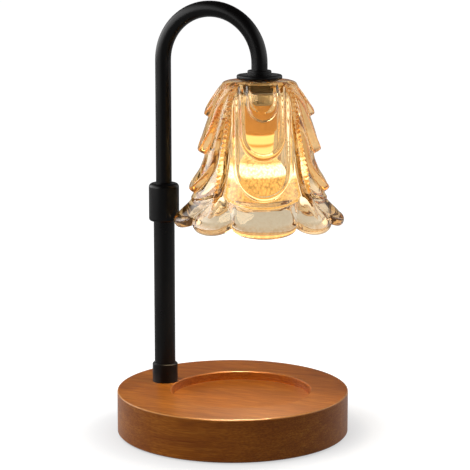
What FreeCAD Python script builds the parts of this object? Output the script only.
import FreeCAD, Part
import math
import os

import Sketcher

# Candle warmer lamp: a halogen reflector bulb in a pressed glass petal shade hangs over a candle that stands
# in a recess of a round wooden base. Heights are measured up from the table. +X runs from the base's centre
# away from the post, and the arm lies over that line at rest.

doc = FreeCAD.newDocument("CandleWarmerLamp")
V = FreeCAD.Vector
UP = V(0, 0, 1)

# ---------------------------------------------------------------- driving dimensions, in mm and degrees
DIMENSIONS = {
    # wooden base
    "base_dia": 175.0,
    "base_top": 33.2,
    "base_edge_round": 1.2,
    "foot_chamfer": 1.0,
    "post_offset": 56.6,
    "recess_offset": 6.9,
    "recess_dia": 106.0,
    "recess_depth": 6.6,
    "recess_chamfer": 0.5,
    "nut_pocket_dia": 34.0,
    "nut_pocket_height": 13.7,
    "wood_hole_gap": 0.25,
    # soft pad under the base
    "pad_thick": 1.5,
    "pad_inset": 4.0,
    "pad_recess": 0.5,
    # what holds the post down
    "nipple_dia": 10.0,
    "nipple_bore": 7.2,
    "nipple_tail": 2.0,
    "thread_gap": 0.05,
    "plug_height": 31.5,
    "washer_dia": 28.0,
    "washer_thick": 2.0,
    "nut_flats": 14.0,
    "nut_height": 5.0,
    "collar_dia": 19.4,
    "collar_height": 14.7,
    "collar_chamfer": 0.8,
    # cable outlet at the rim behind the post
    "gland_bore": 6.6,
    "gland_body_dia": 9.0,
    "gland_flange_dia": 11.0,
    "gland_flange_thick": 2.2,
    "gland_sink": 0.8,
    "clamp_width": 6.0,
    "clamp_thick": 1.6,
    "clamp_length": 20.0,
    "clamp_rise": 3.6,
    "clamp_screw_dia": 2.8,
    "clamp_screw_depth": 8.0,
    "clamp_head_dia": 5.4,
    "clamp_head_height": 1.8,
    "clamp_offset": 27.0,
    # lower tube and its top fitting
    "lower_tube_dia": 16.0,
    "lower_tube_wall": 1.2,
    "lower_tube_top": 171.0,
    "slip_gap": 0.08,
    "ferrule_insert": 11.0,
    "ferrule_thread_dia": 18.4,
    "ferrule_thread_height": 8.6,
    "ferrule_throat": 0.6,
    "collet_dia": 16.4,
    "collet_height": 9.0,
    "collet_nose_dia": 14.0,
    "collet_slot": 1.2,
    "collet_slot_depth": 6.3,
    # lock collar
    "lock_skirt": 12.4,
    "lock_height": 29.0,
    "lock_dia": 23.0,
    "lock_round": 3.2,
    "lock_round_low": 2.0,
    "lock_mouth_gap": 0.35,
    "thrust_ring_thick": 1.0,
    # gooseneck
    "upper_tube_dia": 12.0,
    "upper_tube_wall": 1.0,
    "upper_tube_bottom": 110.0,
    "bend_height": 280.6,
    "reach": 78.0,
    "bush_height": 12.0,
    "bush_rise": 2.6,
    "stop_ring_height": 1.2,
    "stop_ring_play": 0.2,
    "lead_dia": 5.0,
    # hanging fittings over the shade
    "step_collar_dia": 17.7,
    "step_collar_height": 3.2,
    "step_collar_round": 0.9,
    "disc_drop": 11.4,
    "disc_dia": 33.6,
    "disc_thick": 3.5,
    "disc_round": 1.4,
    "gasket_dia": 28.0,
    "gasket_thick": 0.7,
    "shade_washer_dia": 22.0,
    "shade_washer_thick": 1.2,
    "shade_nut_height": 4.0,
    # glass shade
    "shade_height": 108.5,
    "shade_rim_radius": 62.0,
    "shade_hole_dia": 11.6,
    "shade_top_thick": 5.0,
    "valley_radius": 55.5,
    "valley_rise": 8.2,
    "rim_trim": 0.4,
    "wide_lobe_half_angle": 29.0,
    "petal_turn": 26.7,
    "tongue_1_half": 12.0,
    "tongue_2_half": 18.6,
    "tongue_3_half": 21.6,
    "tongue_sweep": 124.0,
    "wall_bite": 1.3,
    "rib_angle": 45.0,
    "rib_width": 3.6,
    "rib_proud": 2.2,
    # lamp holder
    "holder_dia": 26.6,
    "holder_drop": 40.2,
    "holder_height": 20.5,
    "bridge_thick": 1.5,
    "bridge_hub_dia": 15.0,
    "holder_screw_spacing": 21.0,
    "holder_screw_dia": 3.0,
    "holder_screw_depth": 8.0,
    "holder_head_dia": 5.4,
    "holder_head_height": 1.7,
    "pin_spacing": 10.0,
    "pin_neck_dia": 2.8,
    "pin_neck_length": 4.0,
    "pin_head_dia": 5.0,
    "pin_head_length": 3.2,
    "pin_slot_gap": 0.5,
    "pin_entry_gap": 0.8,
    "pin_slot_depth": 12.0,
    "pin_rest_gap": 0.3,
    "bayonet_turn": 40.0,
    "contact_dia": 4.4,
    "holder_face_gap": 0.3,
    # reflector bulb
    "bulb_base_dia": 23.0,
    "bulb_neck_dia": 20.0,
    "bulb_base_height": 15.0,
    "bulb_dia": 50.0,
    "bulb_length": 47.0,
    "bulb_wall": 1.6,
    "bulb_rim_height": 3.0,
    "front_glass_thick": 1.6,
    "front_glass_sink": 0.4,
    "capsule_dia": 9.0,
    "capsule_height": 17.0,
    "capsule_round": 3.1,
}

sheet = doc.addObject("Spreadsheet::Sheet", "Dims")
for row, (alias, number) in enumerate(DIMENSIONS.items(), start=1):
    sheet.set(f"A{row}", alias)
    sheet.set(f"B{row}", str(number))
    sheet.setAlias(f"B{row}", alias)
doc.recompute()


class Size:
    """A length or angle: its number now, and the sheet formula that a feature is bound to."""

    def __init__(self, value, text):
        self.value = value
        self.text = text

    def __add__(self, other):
        other = as_size(other)
        return Size(self.value + other.value, f"({self.text} + {other.text})")

    def __sub__(self, other):
        other = as_size(other)
        return Size(self.value - other.value, f"({self.text} - {other.text})")

    def __mul__(self, other):
        other = as_size(other)
        return Size(self.value * other.value, f"({self.text} * {other.text})")

    def __truediv__(self, other):
        other = as_size(other)
        return Size(self.value / other.value, f"({self.text} / {other.text})")

    def __neg__(self):
        return Size(-self.value, f"(0 - {self.text})")


def as_size(number):
    """A plain number as a Size, and a Size as it is."""
    return number if isinstance(number, Size) else Size(float(number), repr(float(number)))


class Dims:
    """The sheet's cells by name."""


for alias in DIMENSIONS:
    setattr(Dims, alias, Size(float(sheet.get(alias)), f"Dims.{alias}"))
d = Dims

# ---------------------------------------------------------------- places worked out from the dimensions
post_x = -d.post_offset
shade_x = d.reach - d.post_offset
wood_bottom = d.pad_thick - d.pad_recess
plug_top = d.base_top + d.plug_height
pocket_top = wood_bottom + d.nut_pocket_height
washer_bottom = pocket_top - d.washer_thick
nut_bottom = washer_bottom - d.nut_height
nipple_bottom = nut_bottom - d.nipple_tail
gland_height = wood_bottom + d.nut_pocket_height / 2
clamp_screw_y = d.clamp_length / 2 - d.clamp_head_dia / 2
rim_x = d.base_dia / 2
lower_bore_radius = d.lower_tube_dia / 2 - d.lower_tube_wall
upper_radius = d.upper_tube_dia / 2
upper_bore_radius = upper_radius - d.upper_tube_wall
guide_radius = upper_radius + d.slip_gap
ferrule_top = d.lower_tube_top + d.ferrule_thread_height
collet_bottom = d.lower_tube_top + d.ferrule_throat
collet_top = collet_bottom + d.collet_height
lock_bottom = d.lower_tube_top - d.lock_skirt
lock_top = lock_bottom + d.lock_height
lock_bore_radius = d.ferrule_thread_dia / 2 + d.thread_gap
nipple_radius = d.nipple_dia / 2 - d.thread_gap
disc_bottom = d.bend_height - d.disc_drop
disc_top = disc_bottom + d.disc_thick
shade_top = disc_bottom - d.gasket_thick
shade_under_top = shade_top - d.shade_top_thick
shade_washer_top = shade_under_top - d.gasket_thick
shade_nut_top = shade_washer_top - d.shade_washer_thick
bridge_hub_top = shade_nut_top - d.shade_nut_height
holder_face = disc_bottom - d.holder_drop
holder_top = holder_face + d.holder_height
bridge_top = holder_top + d.bridge_thick
bulb_top = holder_face - d.holder_face_gap
bulb_neck = bulb_top - d.bulb_base_height
bulb_front = bulb_top - d.bulb_length
bulb_rim_top = bulb_front + d.bulb_rim_height
pin_head_bottom = bulb_top + d.pin_neck_length
pin_head_top = pin_head_bottom + d.pin_head_length
holder_ceiling = holder_face + d.pin_slot_depth


# ---------------------------------------------------------------- ways of making a piece
def body(label, x=None, z=None):
    """A new PartDesign body whose own origin lies at (x, 0, z)."""
    made = doc.addObject("PartDesign::Body", label)
    made.Label = label
    if x is not None:
        made.setExpression("Placement.Base.x", x.text)
    if z is not None:
        made.setExpression("Placement.Base.z", z.text)
    return made


def plane_of(piece, role):
    """One of a body's own origin planes, by its role."""
    return next(f for f in piece.Origin.OriginFeatures if f.Role == role)


def new_sketch(piece, name, role):
    sketch = piece.newObject("Sketcher::SketchObject", f"{piece.Label}_{name}")
    sketch.AttachmentSupport = [(plane_of(piece, role), "")]
    sketch.MapMode = "FlatFace"
    return sketch


def pin_point(sketch, geometry, position, x, y):
    """Ties one point of a sketch to its origin with bound distances. A side given as None stays free."""
    for kind, size in (("DistanceX", x), ("DistanceY", y)):
        if size is None:
            continue
        size = as_size(size)
        index = sketch.addConstraint(
            Sketcher.Constraint(kind, -1, 1, geometry, position, size.value)
        )
        sketch.setExpression(f"Constraints[{index}]", size.text)


def bind_radius(sketch, geometry, radius):
    index = sketch.addConstraint(Sketcher.Constraint("Radius", geometry, radius.value))
    sketch.setExpression(f"Constraints[{index}]", radius.text)


def draw_outline(sketch, corners):
    """A closed outline of straight lines through bound corners."""
    corners = [(as_size(x), as_size(y)) for x, y in corners]
    first = sketch.GeometryCount
    count = len(corners)
    for i, (x, y) in enumerate(corners):
        nx, ny = corners[(i + 1) % count]
        sketch.addGeometry(
            Part.LineSegment(V(x.value, y.value, 0), V(nx.value, ny.value, 0))
        )
    for i in range(count):
        sketch.addConstraint(
            Sketcher.Constraint("Coincident", first + i, 2, first + (i + 1) % count, 1)
        )
    for i, (x, y) in enumerate(corners):
        pin_point(sketch, first + i, 1, x, y)


def draw_circle(sketch, x, y, radius):
    x, y = as_size(x), as_size(y)
    index = sketch.addGeometry(Part.Circle(V(x.value, y.value, 0), V(0, 0, 1), radius.value))
    pin_point(sketch, index, 3, x, y)
    bind_radius(sketch, index, radius)


def revolve(piece, name, sketch, cut=False, axis="V_Axis"):
    kind = "PartDesign::Groove" if cut else "PartDesign::Revolution"
    feature = piece.newObject(kind, f"{piece.Label}_{name}")
    feature.Profile = sketch
    feature.ReferenceAxis = (sketch, [axis])
    feature.Angle = 360
    return feature


def turned(label, corners, x=None):
    """A turned piece: an outline in (radius, height) revolved about the upright axis at x."""
    piece = body(label, x)
    sketch = new_sketch(piece, "profile", "XZ_Plane")
    draw_outline(sketch, corners)
    revolve(piece, "turned", sketch)
    return piece


def ring(label, inner, outer, bottom, top, x=None):
    """A plain ring or tube between two radii and two heights."""
    return turned(label, [(inner, bottom), (outer, bottom), (outer, top), (inner, top)], x)


def pull(piece, name, sketch, length, cut=False, back=False):
    """Pads or pockets a sketch by a bound length, up by default and down with back set."""
    kind = "PartDesign::Pocket" if cut else "PartDesign::Pad"
    feature = piece.newObject(kind, f"{piece.Label}_{name}")
    feature.Profile = sketch
    feature.setExpression("Length", length.text)
    feature.Reversed = back != cut
    return feature


def raise_sketch(sketch, height):
    """Lifts a sketch off its plane by a bound height along the plane's normal."""
    sketch.setExpression("AttachmentOffset.Base.z", height.text)


def rims(shape, places):
    """Names of the circular edges of a shape at the given (radius, height) places."""
    names = []
    for number, edge in enumerate(shape.Edges, start=1):
        if not isinstance(edge.Curve, Part.Circle):
            continue
        for radius, height in places:
            near = abs(edge.Curve.Radius - as_size(radius).value) < 1e-3
            if near and abs(edge.Curve.Center.z - as_size(height).value) < 1e-3:
                names.append(f"Edge{number}")
    return names


def dress(piece, kind, size, places):
    """Rounds or chamfers the circular edges of a body at the given places."""
    doc.recompute()
    base = piece.Tip
    names = rims(base.Shape, places)
    feature = piece.newObject(f"PartDesign::{kind}", f"{piece.Label}_{kind.lower()}{len(piece.Group)}")
    feature.Base = (base, names)
    feature.setExpression("Radius" if kind == "Fillet" else "Size", size.text)
    return feature


def hexagon(flats):
    """Six corners of a nut across the given flats."""
    reach = flats / math.sqrt(3)
    return [
        (reach * math.cos(math.radians(60 * k)), reach * math.sin(math.radians(60 * k)))
        for k in range(6)
    ]


def hex_nut(label, flats, bore_radius, bottom, height, x):
    piece = body(label, x)
    sketch = new_sketch(piece, "hexagon", "XY_Plane")
    draw_outline(sketch, hexagon(flats))
    draw_circle(sketch, 0, 0, bore_radius)
    raise_sketch(sketch, bottom)
    pull(piece, "pad", sketch, height)
    return piece


# ---------------------------------------------------------------- base
def wooden_base():
    """A turned disc with the candle's recess, the nut pocket under the post and the way for the cable."""
    radius = d.base_dia / 2
    piece = turned(
        "wooden_base",
        [(0, wood_bottom), (radius, wood_bottom), (radius, d.base_top), (0, d.base_top)],
    )
    dress(piece, "Fillet", d.base_edge_round, [(radius, d.base_top)])
    dress(piece, "Chamfer", d.foot_chamfer, [(radius, wood_bottom)])

    recess = new_sketch(piece, "recess", "XY_Plane")
    draw_circle(recess, d.recess_offset, 0, d.recess_dia / 2)
    raise_sketch(recess, d.base_top)
    pull(piece, "recess_pocket", recess, d.recess_depth, cut=True, back=True)
    dress(piece, "Chamfer", d.recess_chamfer, [(d.recess_dia / 2, d.base_top)])

    pocket = new_sketch(piece, "nut_pocket", "XY_Plane")
    draw_circle(pocket, post_x, 0, d.nut_pocket_dia / 2)
    raise_sketch(pocket, wood_bottom)
    pull(piece, "nut_pocket_cut", pocket, d.nut_pocket_height, cut=True)

    clamp_bay = new_sketch(piece, "clamp_bay", "XY_Plane")
    half_bay = d.clamp_length / 2 + d.clamp_thick
    inner_end = post_x + d.clamp_offset + d.clamp_width
    draw_outline(
        clamp_bay,
        [(post_x, -half_bay), (inner_end, -half_bay), (inner_end, half_bay), (post_x, half_bay)],
    )
    raise_sketch(clamp_bay, wood_bottom)
    pull(piece, "clamp_bay_cut", clamp_bay, d.nut_pocket_height, cut=True)

    hole = new_sketch(piece, "post_hole", "XY_Plane")
    draw_circle(hole, post_x, 0, d.nipple_dia / 2 + d.wood_hole_gap)
    raise_sketch(hole, wood_bottom)
    pull(piece, "post_hole_cut", hole, d.base_top, cut=True)

    pilots = new_sketch(piece, "pilots", "XY_Plane")
    pilot_radius = d.clamp_screw_dia / 2 + d.thread_gap
    for side in (-1, 1):
        draw_circle(pilots, post_x + d.clamp_offset, clamp_screw_y * side, pilot_radius)
    raise_sketch(pilots, pocket_top)
    pull(piece, "pilot_cut", pilots, d.clamp_screw_depth - d.clamp_thick, cut=True)

    pad_seat = new_sketch(piece, "pad_seat", "XY_Plane")
    draw_circle(pad_seat, 0, 0, radius - d.pad_inset + d.wood_hole_gap)
    raise_sketch(pad_seat, wood_bottom)
    pull(piece, "pad_seat_cut", pad_seat, d.pad_recess, cut=True)

    outlet = new_sketch(piece, "outlet", "XZ_Plane")
    pocket_wall = post_x - d.nut_pocket_dia / 2 + d.nipple_tail
    flange_seat = -(rim_x - d.gland_sink - d.gland_flange_thick)
    body_radius = d.gland_body_dia / 2
    flange_radius = d.gland_flange_dia / 2 + d.wood_hole_gap
    past_rim = -(rim_x + d.gland_flange_dia)
    draw_outline(
        outlet,
        [
            (pocket_wall, gland_height),
            (pocket_wall, gland_height + body_radius),
            (flange_seat, gland_height + body_radius),
            (flange_seat, gland_height + flange_radius),
            (past_rim, gland_height + flange_radius),
            (past_rim, gland_height),
        ],
    )
    lid = outlet.addGeometry(
        Part.LineSegment(V(past_rim.value, gland_height.value, 0), V(0, gland_height.value, 0)), True
    )
    pin_point(outlet, lid, 1, past_rim, gland_height)
    pin_point(outlet, lid, 2, 0, gland_height)
    revolve(piece, "outlet_cut", outlet, cut=True, axis="Axis0")
    return piece


def base_pad():
    """A foam disc that covers the underside and keeps the wood off the table."""
    return ring("base_pad", as_size(0), d.base_dia / 2 - d.pad_inset, as_size(0), d.pad_thick)


def cable_gland():
    """A flanged bush pushed into the rim behind the post, where the cable leaves."""
    piece = body("cable_gland", None, gland_height)
    inner = d.gland_bore / 2
    outer = d.gland_body_dia / 2
    flange = d.gland_flange_dia / 2
    inside = post_x - d.nut_pocket_dia / 2
    seat = -(rim_x - d.gland_sink - d.gland_flange_thick)
    outside = -(rim_x - d.gland_sink)
    sketch = new_sketch(piece, "profile", "XZ_Plane")
    body_corners = [(outside, inner), (inside, inner), (inside, outer), (seat, outer)]
    flange_corners = [(seat, flange), (outside, flange)]
    draw_outline(sketch, body_corners + flange_corners)
    revolve(piece, "turned", sketch, axis="H_Axis")
    return piece


def cord_clamp():
    """A strap that bridges the cable in the pocket, with a foot for a screw at each end."""
    ceiling = pocket_top
    piece = body("cord_clamp", post_x + d.clamp_offset)
    half = d.clamp_length / 2
    foot = half - d.clamp_head_dia
    floor = ceiling - d.clamp_thick
    crown = ceiling - d.clamp_rise
    sketch = new_sketch(piece, "profile", "YZ_Plane")
    draw_outline(
        sketch,
        [
            (-half, ceiling),
            (-half, floor),
            (-foot, floor),
            (-foot + d.clamp_thick, crown - d.clamp_thick),
            (foot - d.clamp_thick, crown - d.clamp_thick),
            (foot, floor),
            (half, floor),
            (half, ceiling),
            (foot - d.clamp_thick, ceiling),
            (foot - d.clamp_thick * 2, crown),
            (-foot + d.clamp_thick * 2, crown),
            (-foot + d.clamp_thick, ceiling),
        ],
    )
    strap = pull(piece, "strap", sketch, d.clamp_width)
    strap.Midplane = True
    holes = new_sketch(piece, "screw_holes", "XY_Plane")
    for side in (-1, 1):
        draw_circle(holes, 0, clamp_screw_y * side, d.clamp_screw_dia / 2 + d.thread_gap)
    raise_sketch(holes, floor)
    pull(piece, "screw_hole_cut", holes, d.clamp_thick, cut=True)
    return piece


def clamp_screws():
    """Two pan head wood screws, one solid each."""
    floor = pocket_top - d.clamp_thick
    head = [
        (0, floor - d.clamp_head_height),
        (d.clamp_head_dia / 2, floor - d.clamp_head_height),
        (d.clamp_head_dia / 2, floor),
        (d.clamp_screw_dia / 2, floor),
        (d.clamp_screw_dia / 2, floor + d.clamp_screw_depth),
        (0, floor + d.clamp_screw_depth),
    ]
    return pair_of_screws("clamp_screws", head, post_x + d.clamp_offset, clamp_screw_y)


def pair_of_screws(label, outline, x, y):
    """Two turned screws at (x, -y) and (x, y), kept as separate solids of one piece."""
    made = []
    for side in (-1, 1):
        screw = body(f"{label}_{'near' if side < 0 else 'far'}", x)
        screw.setExpression("Placement.Base.y", (y * side).text)
        sketch = new_sketch(screw, "profile", "XZ_Plane")
        draw_outline(sketch, outline)
        revolve(screw, "turned", sketch)
        made.append(screw)
    group = doc.addObject("Part::Compound", label)
    group.Label = label
    group.Links = made
    return group


# ---------------------------------------------------------------- post
def foot_collar():
    """The sleeve that covers the joint between the post and the wood."""
    outer = d.collar_dia / 2
    piece = ring(
        "foot_collar",
        d.lower_tube_dia / 2 + d.thread_gap,
        outer,
        d.base_top,
        d.base_top + d.collar_height,
        post_x,
    )
    dress(piece, "Chamfer", d.collar_chamfer, [(outer, d.base_top + d.collar_height)])
    return piece


def lower_tube():
    return ring("lower_tube", lower_bore_radius, d.lower_tube_dia / 2, d.base_top, d.lower_tube_top, post_x)


def tube_plug():
    """A plug pressed into the lower tube's foot and tapped for the nipple; also the arm's lower stop."""
    bore = nipple_radius + d.thread_gap
    shoulder = d.base_top + d.collar_height
    outer = lower_bore_radius - d.thread_gap
    return turned(
        "tube_plug",
        [
            (bore, d.base_top),
            (outer, d.base_top),
            (outer, plug_top),
            (d.nipple_bore / 2, plug_top),
            (d.nipple_bore / 2, shoulder),
            (bore, shoulder),
        ],
        post_x,
    )


def foot_nipple():
    """The hollow threaded rod that pulls the post down on the wood."""
    return ring(
        "foot_nipple", d.nipple_bore / 2, nipple_radius, nipple_bottom, d.base_top + d.collar_height, post_x
    )


def foot_washer():
    hole = nipple_radius + d.thread_gap
    return ring("foot_washer", hole, d.washer_dia / 2, washer_bottom, pocket_top, post_x)


def foot_nut():
    return hex_nut("foot_nut", d.nut_flats, nipple_radius + d.thread_gap, nut_bottom, d.nut_height, post_x)


def tube_ferrule():
    """The threaded fitting in the top of the lower tube: a guide below, a seat for the collet above."""
    thread = d.ferrule_thread_dia / 2
    bore = guide_radius
    seat = d.collet_dia / 2
    insert = lower_bore_radius - d.thread_gap
    insert_bottom = d.lower_tube_top - d.ferrule_insert
    return turned(
        "tube_ferrule",
        [
            (bore, insert_bottom),
            (insert, insert_bottom),
            (insert, d.lower_tube_top),
            (thread, d.lower_tube_top),
            (thread, ferrule_top),
            (seat, ferrule_top),
            (seat, collet_bottom),
            (bore, collet_bottom),
        ],
        post_x,
    )


def split_collet():
    """A nylon ring with four slots, whose tapered nose the lock collar squeezes on the upper tube."""
    seat = d.collet_dia / 2 - d.thread_gap
    nose = d.collet_nose_dia / 2
    taper_start = collet_top - (d.collet_dia - d.collet_nose_dia)
    piece = turned(
        "split_collet",
        [
            (guide_radius, collet_bottom),
            (seat, collet_bottom),
            (seat, taper_start),
            (nose, collet_top),
            (guide_radius, collet_top),
        ],
        post_x,
    )
    slots = new_sketch(piece, "slots", "XY_Plane")
    half = d.collet_slot / 2
    reach = d.collet_dia / 2 + d.collet_slot
    inner = guide_radius - d.collet_slot
    for dx, dy in ((1, 0), (0, 1), (-1, 0), (0, -1)):
        near = [inner * dx - half * dy, inner * dy - half * dx]
        far = [reach * dx - half * dy, reach * dy - half * dx]
        far_side = [reach * dx + half * dy, reach * dy + half * dx]
        near_side = [inner * dx + half * dy, inner * dy + half * dx]
        draw_outline(slots, [near, far, far_side, near_side])
    raise_sketch(slots, collet_top - d.collet_slot_depth)
    pull(piece, "slot_cut", slots, d.collet_height, cut=True)
    return piece


# ---------------------------------------------------------------- lock collar
def lock_collar():
    """The knob that frees or clamps the arm: its bore runs on the ferrule, its crown presses the collet."""
    outer = d.lock_dia / 2
    crown = collet_top + d.thrust_ring_thick + d.slip_gap
    mouth = upper_radius + d.lock_mouth_gap
    piece = turned(
        "lock_collar",
        [
            (lock_bore_radius, lock_bottom),
            (outer, lock_bottom),
            (outer, lock_top),
            (mouth, lock_top),
            (mouth, crown),
            (lock_bore_radius, crown),
        ],
        post_x,
    )
    dress(piece, "Fillet", d.lock_round, [(outer, lock_top)])
    dress(piece, "Fillet", d.lock_round_low, [(outer, lock_bottom)])
    return piece


def thrust_ring():
    """The slippery ring between the collar's crown and the collet's nose."""
    bottom = collet_top + d.slip_gap
    return ring(
        "thrust_ring",
        upper_radius + d.lock_mouth_gap,
        lock_bore_radius - d.thread_gap,
        bottom,
        bottom + d.thrust_ring_thick,
        post_x,
    )


# ---------------------------------------------------------------- arm
def guide_bush():
    """The nylon bush at the upper tube's foot, which slides in the lower tube."""
    bottom = d.upper_tube_bottom + d.bush_rise
    return ring(
        "guide_bush", guide_radius, lower_bore_radius - d.slip_gap, bottom, bottom + d.bush_height, post_x
    )


def stop_ring():
    """The ring crimped on the upper tube's end, which carries the bush."""
    top = d.upper_tube_bottom + d.bush_rise - d.stop_ring_play
    return ring(
        "stop_ring",
        upper_radius + d.thread_gap,
        lower_bore_radius - d.stop_ring_play * 2,
        top - d.stop_ring_height,
        top,
        post_x,
    )


def bent_rod(label, bottom, end, circles):
    """A rod or tube that runs up the post's axis, over the half-round bend and down the shade's axis."""
    piece = body(label, post_x)
    radius = d.reach / 2
    path = new_sketch(piece, "path", "XZ_Plane")
    path.addGeometry(Part.LineSegment(V(0, bottom.value, 0), V(0, d.bend_height.value, 0)))
    path.addGeometry(
        Part.ArcOfCircle(
            Part.Circle(V(radius.value, d.bend_height.value, 0), V(0, 0, 1), radius.value), 0, math.pi
        )
    )
    path.addGeometry(
        Part.LineSegment(V(d.reach.value, d.bend_height.value, 0), V(d.reach.value, end.value, 0))
    )
    path.addConstraint(Sketcher.Constraint("Coincident", 0, 2, 1, 2))
    path.addConstraint(Sketcher.Constraint("Coincident", 1, 1, 2, 1))
    pin_point(path, 0, 1, 0, bottom)
    pin_point(path, 1, 3, radius, d.bend_height)
    pin_point(path, 1, 1, None, d.bend_height)
    pin_point(path, 1, 2, None, d.bend_height)
    pin_point(path, 2, 2, d.reach, end)
    bind_radius(path, 1, radius)
    section = new_sketch(piece, "section", "XY_Plane")
    for circle in circles:
        draw_circle(section, 0, 0, circle)
    raise_sketch(section, bottom)
    pipe = piece.newObject("PartDesign::AdditivePipe", f"{label}_pipe")
    pipe.Profile = section
    pipe.Spine = (path, ["Edge1", "Edge2", "Edge3"])
    return piece


def gooseneck_tube():
    return bent_rod("gooseneck_tube", d.upper_tube_bottom, disc_top, [upper_radius, upper_bore_radius])


def lamp_lead():
    """The sheathed pair of wires inside the gooseneck, from the lamp holder to the tube's foot."""
    return bent_rod("lamp_lead", d.upper_tube_bottom, holder_top, [d.lead_dia / 2])


# ---------------------------------------------------------------- fittings over and under the shade's top
def step_collar():
    """The ring round the gooseneck's end."""
    outer = d.step_collar_dia / 2
    top = disc_top + d.step_collar_height
    piece = ring("step_collar", upper_radius + d.thread_gap, outer, disc_top, top, shade_x)
    dress(piece, "Fillet", d.step_collar_round, [(outer, top)])
    return piece


def cap_disc():
    """The round cover plate that the glass hangs from, with a soft edge."""
    outer = d.disc_dia / 2
    piece = ring("cap_disc", nipple_radius + d.thread_gap, outer, disc_bottom, disc_top, shade_x)
    dress(piece, "Fillet", d.disc_round, [(outer, disc_bottom), (outer, disc_top)])
    return piece


def outer_gasket():
    return ring("outer_gasket", d.shade_hole_dia / 2, d.gasket_dia / 2, shade_top, disc_bottom, shade_x)


def inner_gasket():
    hole, outer = d.shade_hole_dia / 2, d.shade_washer_dia / 2
    return ring("inner_gasket", hole, outer, shade_washer_top, shade_under_top, shade_x)


def shade_washer():
    return ring(
        "shade_washer",
        nipple_radius + d.thread_gap,
        d.shade_washer_dia / 2,
        shade_nut_top,
        shade_washer_top,
        shade_x,
    )


def shade_nut():
    return hex_nut(
        "shade_nut", d.nut_flats, nipple_radius + d.thread_gap, bridge_hub_top, d.shade_nut_height, shade_x
    )


def holder_nipple():
    """The hollow threaded rod from the gooseneck's end through disc, glass and nut to the bridge."""
    return ring("holder_nipple", d.nipple_bore / 2, nipple_radius, holder_top, d.bend_height, shade_x)


# ---------------------------------------------------------------- glass shade
# A station's first number is a height below the shade's top as a share of the shade's height, and its radii
# are shares of the rim's. A ring of the bell has three: at the wide lobes, the narrow lobes and the valleys.
BELL_OUTSIDE = [
    (0.000, 0.274, 0.274, 0.274),
    (0.019, 0.352, 0.368, 0.342),
    (0.069, 0.426, 0.474, 0.410),
    (0.143, 0.468, 0.529, 0.445),
    (0.235, 0.510, 0.561, 0.487),
    (0.447, 0.581, 0.632, 0.561),
    (0.659, 0.671, 0.723, 0.635),
    (0.760, 0.748, 0.787, 0.694),
    (0.834, 0.839, 0.848, 0.768),
    (0.899, 0.952, 0.926, 0.858),
    (0.949, 1.000, 0.968, 0.895),
    (1.000, 0.935, 0.911, 0.847),
]
BELL_INSIDE = [
    (0.046, 0.202, 0.202, 0.202),
    (0.069, 0.294, 0.294, 0.294),
    (0.124, 0.381, 0.381, 0.381),
    (0.235, 0.445, 0.445, 0.445),
    (0.447, 0.513, 0.513, 0.513),
    (0.659, 0.590, 0.590, 0.587),
    (0.779, 0.684, 0.684, 0.665),
    (0.853, 0.777, 0.771, 0.729),
    (0.926, 0.865, 0.848, 0.787),
    (1.009, 0.897, 0.877, 0.806),
]
# The outside of each overlapping tongue of a petal, from where it leaves the bell down to its lip.
TONGUES = [
    (
        d.tongue_1_half,
        [(0.001, 0.290), (0.018, 0.397), (0.074, 0.487), (0.135, 0.565), (0.182, 0.613), (0.208, 0.626),
         (0.233, 0.610), (0.248, 0.571)],
    ),
    (
        d.tongue_2_half,
        [(0.036, 0.397), (0.115, 0.494), (0.241, 0.590), (0.399, 0.689), (0.449, 0.711), (0.480, 0.694),
         (0.500, 0.645)],
    ),
    (
        d.tongue_3_half,
        [(0.060, 0.413), (0.171, 0.510), (0.346, 0.590), (0.494, 0.635), (0.594, 0.694), (0.683, 0.794),
         (0.720, 0.819), (0.747, 0.803), (0.766, 0.758)],
    ),
]
QUARTERS = (0, 90, 180, 270)


def bell_height(below):
    return shade_top.value - below * d.shade_height.value


def bell_point(below, share):
    """A place on the shade in the upright half plane."""
    return V(share * d.shade_rim_radius.value, 0, bell_height(below))


def around(radius, angle, height):
    """A point at an angle in degrees about the shade's axis."""
    turn = math.radians(angle)
    return V(radius * math.cos(turn), radius * math.sin(turn), height)


def line(a, b):
    return Part.LineSegment(a, b).toShape()


def face_within(edges):
    return Part.Face(Part.Wire(Part.__sortEdges__(edges)))


def section(outside, back):
    """An upright section: a smooth curve down the outside, then straight runs through its back points."""
    curve = Part.BSplineCurve()
    curve.interpolate(outside)
    loop = [outside[-1], *back, outside[0]]
    return face_within([curve.toShape()] + [line(a, b) for a, b in zip(loop, loop[1:])])


def lobed_ring(ring):
    """One level of the bell: four wide lobes and four narrow ones, each an arc between two valleys."""
    below, *shares = ring
    wide, narrow, valley = (share * d.shade_rim_radius.value for share in shares)
    height = bell_height(below)
    half = d.wide_lobe_half_angle.value
    edges = []
    for middle in QUARTERS:
        start = around(valley, middle - half, height)
        end = around(valley, middle + half, height)
        next_start = around(valley, middle + 90 - half, height)
        edges.append(Part.Arc(start, around(wide, middle, height), end).toShape())
        edges.append(Part.Arc(end, around(narrow, middle + 45, height), next_start).toShape())
    return Part.Wire(edges)


def lobed_solid(rings):
    return Part.makeLoft([lobed_ring(ring) for ring in rings], True)


def inside_wall(below_first, below_last):
    """Points in the thickness of the bell's wall, from the lower end of a stretch up to its upper end."""
    bite = V(d.wall_bite.value, 0, 0)
    return [
        bell_point(below, share) + bite
        for below, share, *_ in reversed(BELL_INSIDE)
        if below_first < below < below_last
    ]


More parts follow.
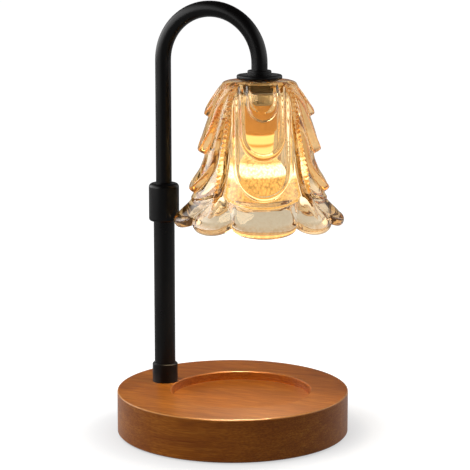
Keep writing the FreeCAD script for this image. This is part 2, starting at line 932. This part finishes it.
def tongue_solid(half_width, stations):
    """One tongue of a petal on the +X side: a revolved layer cut to a strip with a round end."""
    half = half_width.value
    outside = [bell_point(*station) for station in stations]
    layer = section(outside, inside_wall(stations[0][0], stations[-1][0]))
    sweep = d.tongue_sweep.value
    layer.rotate(V(0, 0, 0), UP, -sweep / 2)
    layer = layer.revolve(V(0, 0, 0), UP, sweep)
    tip = outside[-1].z
    left, right = V(0, -half, tip + half), V(0, half, tip + half)
    head_left, head_right = V(0, -half, disc_top.value), V(0, half, disc_top.value)
    strip = face_within(
        [
            Part.Arc(left, V(0, 0, tip), right).toShape(),
            line(right, head_right),
            line(head_right, head_left),
            line(head_left, left),
        ]
    )
    return layer.common(strip.extrude(V(d.base_dia.value, 0, 0)))


def rib_solid():
    """The raised cord that runs down the middle of a narrow lobe, on the +X side."""
    proud = V(d.rib_proud.value, 0, 0)
    stations = BELL_OUTSIDE[1:-2]
    outside = [bell_point(below, narrow) + proud for below, _, narrow, _ in stations]
    flat = section(outside, inside_wall(stations[0][0], stations[-1][0]))
    flat.translate(V(0, -d.rib_width.value / 2, 0))
    return flat.extrude(V(0, d.rib_width.value, 0))


def rim_scallop(middle, half_angle, lowest):
    """What is cut from under one lobe, so that its edge hangs in an arc between two valleys."""
    half = d.valley_radius.value * math.sin(math.radians(half_angle)) + d.thread_gap.value
    valley = lowest + d.valley_rise.value
    inner, outer = d.bulb_dia.value / 2, d.base_dia.value / 2
    left, right = V(inner, -half, valley), V(inner, half, valley)
    below = V(0, 0, 2 * d.valley_rise.value)
    under = face_within(
        [
            Part.Arc(left, V(inner, 0, lowest), right).toShape(),
            line(right, right - below),
            line(right - below, left - below),
            line(left - below, left),
        ]
    )
    cutter = under.extrude(V(outer - inner, 0, 0))
    cutter.rotate(V(0, 0, 0), UP, middle)
    return cutter


def turned_copies(shape, start):
    copies = []
    for quarter in QUARTERS:
        copy = shape.copy()
        copy.rotate(V(0, 0, 0), UP, start + quarter)
        copies.append(copy)
    return copies


def glass_shade():
    """The pressed glass shade: a lobed bell with four petals of three overlapping tongues, and four ribs."""
    added = []
    for half_width, stations in TONGUES:
        added += turned_copies(tongue_solid(half_width, stations), 0)
    added += turned_copies(rib_solid(), d.rib_angle.value)
    whole = lobed_solid(BELL_OUTSIDE).multiFuse(added)

    hole_foot = V(0, 0, shade_under_top.value - d.gasket_thick.value)
    hole = Part.makeCylinder(d.shade_hole_dia.value / 2, 2 * d.shade_top_thick.value, hole_foot)
    lowest = bell_height(1) + d.rim_trim.value
    cuts = [lobed_solid(BELL_INSIDE), hole]
    for middle in QUARTERS:
        cuts.append(rim_scallop(middle, d.wide_lobe_half_angle.value, lowest))
        cuts.append(rim_scallop(middle + 45, 45 - d.wide_lobe_half_angle.value, lowest))
    shape = whole.cut(cuts)

    piece = doc.addObject("Part::Feature", "glass_shade")
    piece.Label = "glass_shade"
    piece.Shape = shape.Solids[0] if len(shape.Solids) == 1 else shape
    piece.setExpression("Placement.Base.x", shade_x.text)
    piece.Placement.Rotation = FreeCAD.Rotation(UP, d.petal_turn.value)
    return piece


# ---------------------------------------------------------------- lamp holder
def holder_bridge():
    """The steel plate whose tapped hub screws on the nipple and carries the ceramic holder."""
    hub = d.bridge_hub_dia / 2
    plate = d.holder_dia / 2
    piece = turned(
        "holder_bridge",
        [
            (nipple_radius + d.thread_gap, holder_top),
            (plate, holder_top),
            (plate, bridge_top),
            (hub, bridge_top),
            (hub, bridge_hub_top),
            (nipple_radius + d.thread_gap, bridge_hub_top),
        ],
        shade_x,
    )
    holes = new_sketch(piece, "screw_holes", "XY_Plane")
    for side in (-1, 1):
        draw_circle(holes, 0, d.holder_screw_spacing / 2 * side, d.holder_screw_dia / 2 + d.thread_gap)
    raise_sketch(holes, holder_top)
    pull(piece, "screw_hole_cut", holes, d.bridge_thick, cut=True)
    return piece


def draw_arc_slot(sketch, way, start, end, radius):
    """A round-ended slot along a circle about the sketch's origin, between two angles in radians."""
    first = sketch.GeometryCount
    ends = [way.value * V(math.cos(a), math.sin(a), 0) for a in (start, end)]
    origin = V(0, 0, 0)
    out, inside, cap = way.value + radius.value, way.value - radius.value, radius.value
    for centre, size, low, high in (
        (origin, out, start, end),
        (origin, inside, start, end),
        (ends[0], cap, start + math.pi, start + 2 * math.pi),
        (ends[1], cap, end, end + math.pi),
    ):
        sketch.addGeometry(Part.ArcOfCircle(Part.Circle(centre, V(0, 0, 1), size), low, high))
    outer, inner, start_cap, end_cap = range(first, first + 4)
    for one, one_end, other, other_end in (
        (outer, 2, end_cap, 1),
        (inner, 2, end_cap, 2),
        (inner, 1, start_cap, 1),
        (outer, 1, start_cap, 2),
    ):
        sketch.addConstraint(Sketcher.Constraint("Tangent", one, one_end, other, other_end))
    sketch.addConstraint(Sketcher.Constraint("Coincident", outer, 3, -1, 1))
    sketch.addConstraint(Sketcher.Constraint("Coincident", inner, 3, -1, 1))
    pin_point(sketch, end_cap, 3, way * math.cos(end), way * math.sin(end))
    pin_point(sketch, start_cap, 3, None, way * math.sin(start))
    bind_radius(sketch, end_cap, radius)


def cut_pin_slots(piece, name, bottom, depth, radius):
    """The two arc slots along which the bulb's pins turn to lock."""
    slots = new_sketch(piece, name, "XY_Plane")
    turn = math.radians(d.bayonet_turn.value)
    for half_turn in (0, math.pi):
        draw_arc_slot(slots, d.pin_spacing / 2, half_turn - turn, half_turn, radius)
    raise_sketch(slots, bottom)
    pull(piece, f"{name}_cut", slots, depth, cut=True)


def cut_pin_entries(piece, bottom, depth, radius):
    """The wide holes at the slots' far ends, through which the pins' heads go in."""
    way = d.pin_spacing / 2
    turn = math.radians(d.bayonet_turn.value)
    holes = new_sketch(piece, "pin_entries", "XY_Plane")
    for side in (1, -1):
        draw_circle(holes, way * (side * math.cos(turn)), way * (-side * math.sin(turn)), radius)
    raise_sketch(holes, bottom)
    pull(piece, "pin_entry_cut", holes, depth, cut=True)


def lamp_holder():
    """The ceramic holder: two arc slots below take the bulb's pins, two holes above the bridge's screws."""
    outer = d.holder_dia / 2
    piece = ring("lamp_holder", as_size(0), outer, holder_face, holder_top, shade_x)
    dress(piece, "Chamfer", d.collar_chamfer, [(outer, holder_face)])
    neck_way = d.pin_neck_dia / 2 + d.pin_slot_gap
    head_way = d.pin_head_dia / 2 + d.pin_slot_gap
    ledge_top = pin_head_bottom - d.pin_rest_gap
    cut_pin_slots(piece, "neck_slots", holder_face, ledge_top - holder_face, neck_way)
    cut_pin_slots(piece, "head_slots", ledge_top, holder_ceiling - ledge_top, head_way)
    entry = d.pin_head_dia / 2 + d.pin_entry_gap
    cut_pin_entries(piece, holder_face, ledge_top - holder_face, entry)
    holes = new_sketch(piece, "screw_holes", "XY_Plane")
    for side in (-1, 1):
        draw_circle(holes, 0, d.holder_screw_spacing / 2 * side, d.holder_screw_dia / 2 + d.thread_gap)
    raise_sketch(holes, holder_top)
    pull(piece, "screw_hole_cut", holes, d.holder_screw_depth, cut=True, back=True)
    return piece


def holder_screws():
    """Two pan head screws through the bridge into the ceramic."""
    outline = [
        (0, holder_top - d.holder_screw_depth + d.slip_gap),
        (d.holder_screw_dia / 2, holder_top - d.holder_screw_depth + d.slip_gap),
        (d.holder_screw_dia / 2, bridge_top),
        (d.holder_head_dia / 2, bridge_top),
        (d.holder_head_dia / 2, bridge_top + d.holder_head_height),
        (0, bridge_top + d.holder_head_height),
    ]
    return pair_of_screws("holder_screws", outline, shade_x, d.holder_screw_spacing / 2)


def pair_at_pins(label, outline):
    """Two turned solids at the bulb's pin places, in one piece."""
    made = []
    for side in (-1, 1):
        pin = body(f"{label}_{'left' if side < 0 else 'right'}", shade_x + d.pin_spacing / 2 * side)
        sketch = new_sketch(pin, "profile", "XZ_Plane")
        draw_outline(sketch, outline)
        revolve(pin, "turned", sketch)
        made.append(pin)
    group = doc.addObject("Part::Compound", label)
    group.Label = label
    group.Links = made
    return group


def holder_contacts():
    """The two sprung contacts at the ends of the slots."""
    bottom = pin_head_top + d.pin_rest_gap
    radius = d.contact_dia / 2
    return pair_at_pins(
        "holder_contacts",
        [(0, bottom), (radius, bottom), (radius, holder_ceiling), (0, holder_ceiling)],
    )


# ---------------------------------------------------------------- bulb
def bulb_pins():
    """The two mushroom pins that lock in the holder's slots."""
    neck = d.pin_neck_dia / 2
    head = d.pin_head_dia / 2
    return pair_at_pins(
        "bulb_pins",
        [
            (0, bulb_top),
            (neck, bulb_top),
            (neck, pin_head_bottom),
            (head, pin_head_bottom),
            (head, pin_head_top),
            (0, pin_head_top),
        ],
    )


def bulb_base():
    """The bulb's ceramic base, which narrows to the reflector's neck and holds the capsule's foot."""
    return turned(
        "bulb_base",
        [(0, bulb_neck), (d.bulb_neck_dia / 2, bulb_neck), (d.bulb_base_dia / 2, bulb_top), (0, bulb_top)],
        shade_x,
    )


FLARE_POWER = 0.62  # the reflector's radius grows with this power of the depth below its neck


def bulb_reflector():
    """The glass reflector, which flares from the neck to a straight rim band."""
    neck = d.bulb_neck_dia / 2
    rim = d.bulb_dia / 2
    depth = bulb_neck - bulb_rim_top
    steps = 5
    outside, inside = [], []
    for i in range(steps + 1):
        share = i / steps
        flare = share**FLARE_POWER
        height = bulb_neck - depth * share
        outside.append((neck + (rim - neck) * flare, height))
        inside.append((neck - d.bulb_wall + (rim - neck) * flare, height))
    band = [(rim, bulb_front), (rim - d.bulb_wall, bulb_front)]
    return turned("bulb_reflector", outside + band + inside[::-1], shade_x)


def front_glass():
    """The flat glass set a little inside the reflector's rim."""
    radius = d.bulb_dia / 2 - d.bulb_wall
    bottom = bulb_front + d.front_glass_sink
    return ring("front_glass", as_size(0), radius, bottom, bottom + d.front_glass_thick, shade_x)


def lamp_capsule():
    """The quartz capsule in the reflector's focus."""
    radius = d.capsule_dia / 2
    piece = ring("lamp_capsule", as_size(0), radius, bulb_neck - d.capsule_height, bulb_neck, shade_x)
    dress(piece, "Fillet", d.capsule_round, [(radius, bulb_neck - d.capsule_height)])
    return piece


PIECES = [
    wooden_base,
    base_pad,
    cable_gland,
    cord_clamp,
    clamp_screws,
    foot_collar,
    lower_tube,
    tube_plug,
    foot_nipple,
    foot_washer,
    foot_nut,
    tube_ferrule,
    split_collet,
    lock_collar,
    thrust_ring,
    guide_bush,
    stop_ring,
    gooseneck_tube,
    lamp_lead,
    step_collar,
    cap_disc,
    outer_gasket,
    glass_shade,
    inner_gasket,
    shade_washer,
    shade_nut,
    holder_nipple,
    holder_bridge,
    holder_screws,
    lamp_holder,
    holder_contacts,
    bulb_pins,
    bulb_base,
    bulb_reflector,
    front_glass,
    lamp_capsule,
]


def build():
    made = [piece() for piece in PIECES]
    doc.recompute()
    for item in doc.Objects:
        if "Invalid" in item.State or "Error" in item.State:
            raise RuntimeError(f"{item.Label} failed: {item.State}")
    os.makedirs("parts", exist_ok=True)
    for piece in made:
        shape = piece.Shape
        if shape.isNull() or not shape.isValid():
            raise RuntimeError(f"{piece.Label} has no valid shape")
        shape.exportStep(os.path.join("parts", f"{piece.Label}.step"))
        print(f"{piece.Label}: {len(shape.Solids)} solid(s), {shape.Volume / 1000:.2f} cm3")


build()
